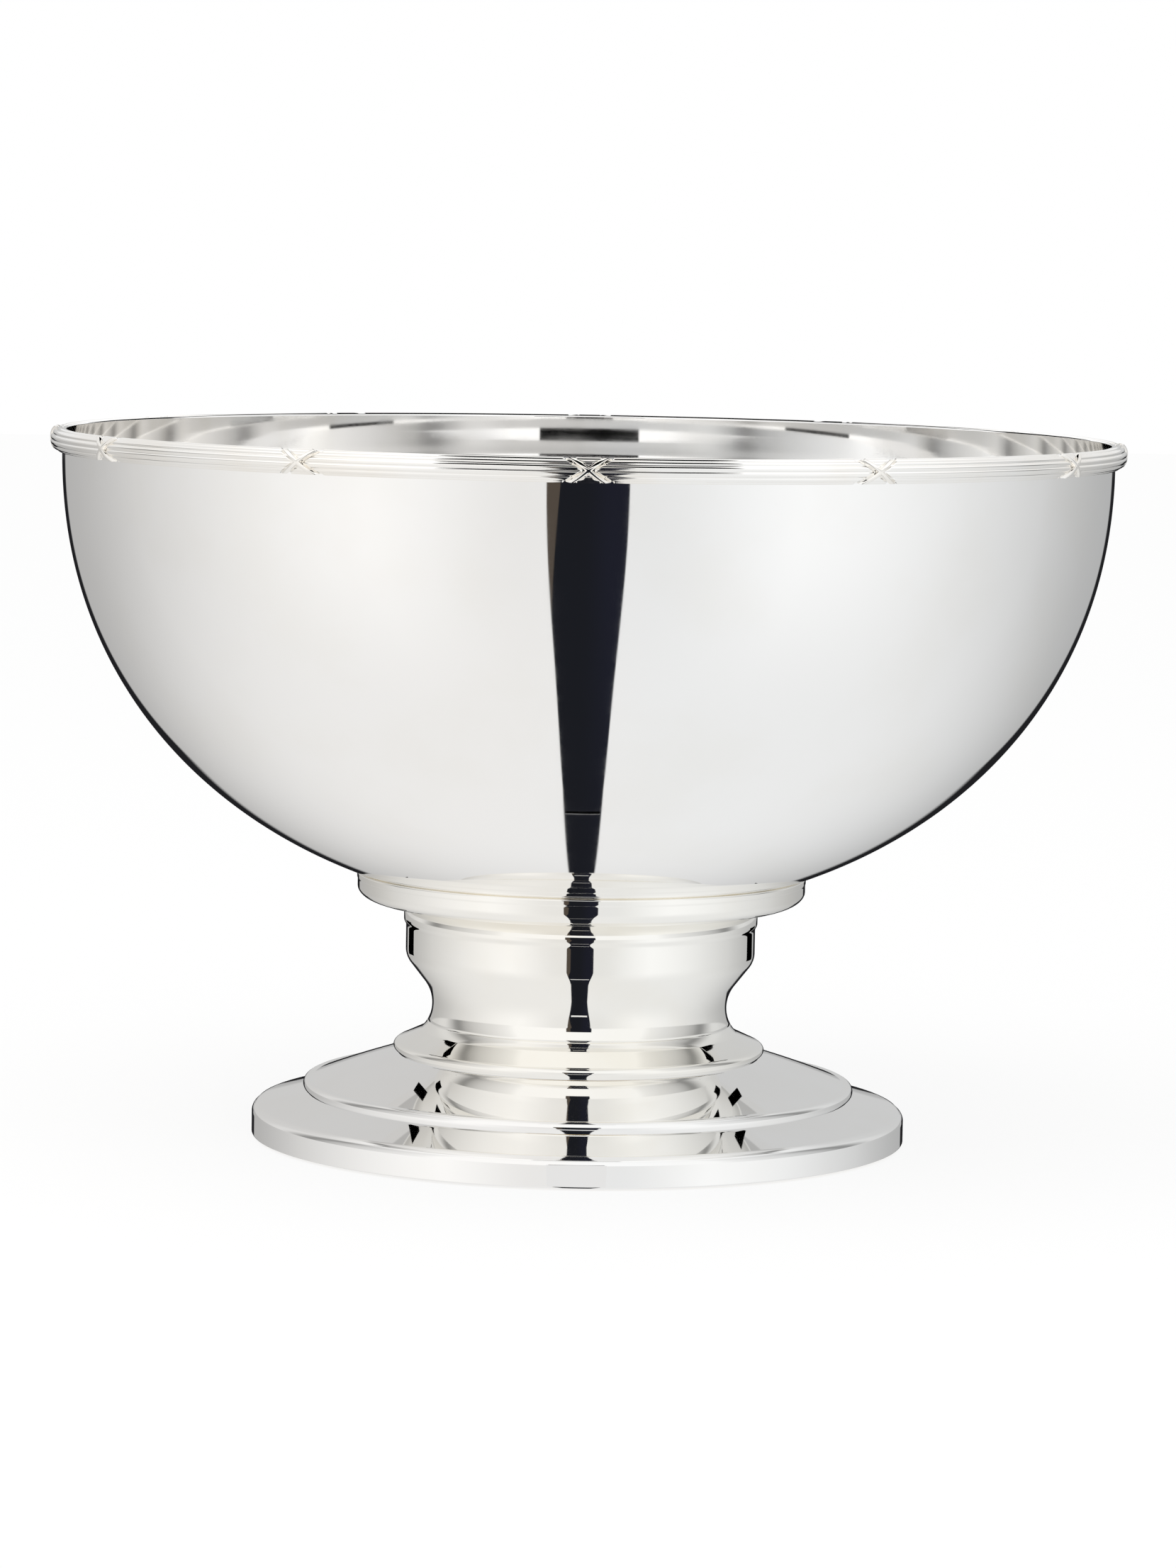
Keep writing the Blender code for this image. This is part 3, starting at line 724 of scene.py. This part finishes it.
def add_world():
    """White tent with an upright dark gap through its front and a dark band low behind.

    The camera itself sees plain white in its place.
    """
    world = bpy.data.worlds.new("studio")
    bpy.context.scene.world = world
    world.use_nodes = True
    tree = world.node_tree
    tree.nodes.clear()
    place = add_node(tree, "ShaderNodeTexCoord").outputs["Generated"]
    split = add_node(tree, "ShaderNodeSeparateXYZ")
    tree.links.new(place, split.inputs[0])
    x, y, z = split.outputs
    front = compute(tree, "MULTIPLY", y, -1.0)
    from_front = compute(tree, "ABSOLUTE", compute(tree, "ARCTAN2", x, front))
    turned_by = compute(tree, "DIVIDE", from_front, math.pi)

    walls = brightness_ramp(tree, turned_by, FRONT_TO_BACK)
    ground = blend(tree, remap(tree, z, -0.15, -0.95), walls, (GROUND, GROUND, GROUND))
    upper = brightness_ramp(tree, turned_by, UPPER_FRONT_TO_BACK)
    ceiling = blend(tree, remap(tree, z, 0.62, 0.88), upper, (CEILING, CEILING, CEILING))
    tent = blend(tree, remap(tree, z, 0.0, 0.05), ground, ceiling)
    tint = blend(tree, remap(tree, x, -0.3, 0.3), LEFT_TINT, RIGHT_TINT)
    product = add_node(tree, "ShaderNodeMix", data_type="RGBA", blend_type="MULTIPLY")
    product.inputs["Factor"].default_value = 1.0
    colours = [s for s in product.inputs if s.type == "RGBA"]
    tree.links.new(tent, colours[0])
    tree.links.new(tint, colours[1])
    tinted = [s for s in product.outputs if s.type == "RGBA"][0]

    low_back = compute(tree, "MULTIPLY", remap(tree, z, -0.34, -0.28), remap(tree, z, -0.02, -0.05))
    low_back = compute(tree, "MULTIPLY", low_back, remap(tree, turned_by, 0.896, 0.908))
    with_back = blend(tree, low_back, tinted, DARK_BACK)

    ahead = compute(tree, "MAXIMUM", front, 0.0)
    width = compute(tree, "MULTIPLY_ADD", ahead, GAP_WIDENING, GAP_HALF_WIDTH)
    width = compute(tree, "MULTIPLY_ADD", compute(tree, "POWER", ahead, 4.0), GAP_FLARE, width)
    width = compute(tree, "MULTIPLY_ADD", compute(tree, "MAXIMUM", y, 0.0), -GAP_NARROWING, width)
    width = compute(tree, "MULTIPLY", width, remap(tree, z, -0.02, 0.04, 1.0, GAP_ABOVE))
    side = compute(tree, "SUBTRACT", width, compute(tree, "ABSOLUTE", x))
    gap = remap(tree, side, -EDGE, EDGE)
    gap = compute(tree, "MULTIPLY", gap, remap(tree, z, GAP_TOP[1], GAP_TOP[0]))
    brown_width = compute(tree, "MULTIPLY", remap(tree, z, BROWN_BOTTOM, 0.0, smooth=False), BROWN_WIDTH)
    brown_edge = compute(tree, "SUBTRACT", brown_width, compute(tree, "ADD", x, width))
    brown = remap(tree, brown_edge, -EDGE, EDGE)
    blue = blend(tree, remap(tree, x, -0.02, 0.10), BLUE_LEFT, BLUE_RIGHT)
    dark = blend(tree, brown, blue, BROWN)
    full = blend(tree, gap, with_back, dark)

    camera_ray = add_node(tree, "ShaderNodeLightPath").outputs["Is Camera Ray"]
    shown = blend(tree, camera_ray, full, (1.0, 1.0, 1.0))
    background = add_node(tree, "ShaderNodeBackground")
    output = add_node(tree, "ShaderNodeOutputWorld")
    tree.links.new(shown, background.inputs["Color"])
    tree.links.new(background.outputs[0], output.inputs["Surface"])


def stage_sheet(name, bm, glow, diffuse=0.0):
    """A matt stage piece that glows white; diffuse is how much it also scatters."""
    material = bpy.data.materials.new(name)
    material.use_nodes = True
    shader = material.node_tree.nodes["Principled BSDF"]
    shader.inputs["Base Color"].default_value = (diffuse, diffuse, diffuse, 1.0)
    shader.inputs["Roughness"].default_value = 1.0
    shader.inputs["Specular IOR Level"].default_value = 0.0
    shader.inputs["Emission Color"].default_value = (1.0, 1.0, 1.0, 1.0)
    shader.inputs["Emission Strength"].default_value = glow
    sheet = bpy.data.objects.new(name, mesh_from(name, bm))
    sheet.data.materials.append(material)
    bpy.context.scene.collection.objects.link(sheet)
    return sheet


def reflected_sheet(name, bm, glow):
    """A stage piece that only reflections show."""
    card = stage_sheet(name, bm, glow)
    card.visible_camera = False
    card.visible_diffuse = False
    card.visible_shadow = False
    return card


def add_card(name, corners, glow):
    bm = bmesh.new()
    bm.faces.new([bm.verts.new(corner) for corner in corners])
    reflected_sheet(name, bm, glow)


def add_floor():
    """Pale floor just under the felt."""
    bm = bmesh.new()
    under = Matrix.Translation((0, 0, -0.0003))
    bmesh.ops.create_circle(bm, cap_ends=True, segments=96, radius=6.0, matrix=under)
    floor = stage_sheet("floor", bm, 0.80, 0.22)
    floor.visible_glossy = False


def add_foot_card():
    """A small leaning card before the foot, white towards the foot, with a dark sheet behind it."""
    half, (low_y, high_y) = FOOT_CARD_HALF_WIDTH, FOOT_CARD_Y
    for name, back, glow in (("foot_card", 0.0, 0.80), ("foot_card_back", 0.0002, 0.0)):
        corners = ((-half, low_y - back, 0.0), (half, low_y - back, 0.0))
        corners += ((half, high_y - back, FOOT_CARD_HEIGHT), (-half, high_y - back, FOOT_CARD_HEIGHT))
        add_card(name, corners, glow)


def add_neck_cards():
    """Small dark cards close beside the neck, one on each side."""
    for side, name in ((-1, "neck_card_left"), (1, "neck_card_right")):
        (low_x, low_y, low_z), (high_x, high_y, high_z) = NECK_CARD_LOW, NECK_CARD_HIGH
        low_x, high_x = low_x * side, high_x * side
        corners = ((low_x, low_y, low_z), (high_x, high_y, low_z))
        corners += ((high_x, high_y, high_z), (low_x, low_y, high_z))
        add_card(name, corners, 0.0)


def add_rim_card():
    """A round white card over the bowl's rim, dark at the middle of its back and low in its front."""
    bm = bmesh.new()
    turns = [math.tau * i / RIM_CARD_SEGMENTS for i in range(RIM_CARD_SEGMENTS)]
    circle = [(RIM_CARD_RADIUS * math.sin(t), RIM_CARD_RADIUS * math.cos(t)) for t in turns]
    low, high = [[bm.verts.new((x, y, level)) for x, y in circle] for level in RIM_CARD_LEVELS]
    for i in range(RIM_CARD_SEGMENTS):
        bm.faces.new((low[i - 1], low[i], high[i], high[i - 1]))
    card = reflected_sheet("rim_card", bm, 1.0)
    tree = card.data.materials[0].node_tree
    split = add_node(tree, "ShaderNodeSeparateXYZ")
    tree.links.new(add_node(tree, "ShaderNodeTexCoord").outputs["Object"], split.inputs[0])
    x, y, z = split.outputs
    aside = compute(tree, "ABSOLUTE", x)
    glow = remap(tree, aside, 0.13, 0.215, 1.15, 0.85)
    far = remap(tree, aside, RIM_DARK_BACK, RIM_DARK_BACK - 0.002)
    far = compute(tree, "MULTIPLY", far, remap(tree, y, 0.0, 0.01))
    near = remap(tree, aside, RIM_DARK_FRONT, RIM_DARK_FRONT - 0.002)
    near = compute(tree, "MULTIPLY", near, remap(tree, y, 0.0, -0.01))
    near = compute(tree, "MULTIPLY", near, remap(tree, z, RIM_DARK_FRONT_TOP, RIM_DARK_FRONT_TOP - 0.010))
    dark = compute(tree, "MAXIMUM", far, near)
    glow = compute(tree, "MULTIPLY", glow, compute(tree, "SUBTRACT", 1.0, dark))
    tree.links.new(glow, tree.nodes["Principled BSDF"].inputs["Emission Strength"])


def add_light():
    """Soft round light overhead, left out of reflections, for the felt and the floor."""
    light = bpy.data.lights.new("overhead", "AREA")
    light.shape = "DISK"
    light.size = 1.6
    light.energy = 6.0
    lamp = bpy.data.objects.new("overhead", light)
    lamp.location = (-0.4, -0.5, 1.9)
    lamp.rotation_euler = (Vector((0, 0, 0.1)) - lamp.location).to_track_quat("-Z", "Y").to_euler()
    lamp.visible_glossy = False
    lamp.visible_camera = False
    bpy.context.scene.collection.objects.link(lamp)


def add_camera():
    """Long lens at table height, looking down a little, with the small tilt of the reference view."""
    data = bpy.data.cameras.new("view")
    data.lens = LENS
    data.clip_end = 100.0
    camera = bpy.data.objects.new("view", data)
    bpy.context.scene.collection.objects.link(camera)
    turned_by = Matrix.Rotation(math.radians(CAMERA_PAN), 4, "Z")
    lowered = Matrix.Rotation(math.radians(90.0 - CAMERA_DIP), 4, "X")
    tilted = Matrix.Rotation(math.radians(CAMERA_ROLL), 4, "Z")
    camera.matrix_world = Matrix.Translation(CAMERA_PLACE) @ turned_by @ lowered @ tilted
    bpy.context.scene.camera = camera


def set_view():
    scene = bpy.context.scene
    scene.view_settings.view_transform = "Standard"
    scene.view_settings.look = "None"
    scene.cycles.glossy_bounces = 12


def hide_foot_from_mirrors():
    """Leave the foot and fastening out of what the polished metal reflects, which no real mirror does."""
    for name in NOT_REFLECTED:
        bpy.data.objects[name].visible_glossy = False


add_camera()
add_world()
add_floor()
add_rim_card()
add_neck_cards()
add_foot_card()
add_light()
set_view()
add_bowl()
add_border()
add_ties()
add_collar()
add_neck()
add_dome()
add_tier()
add_base()
add_fastening()
add_underside()
hide_foot_from_mirrors()
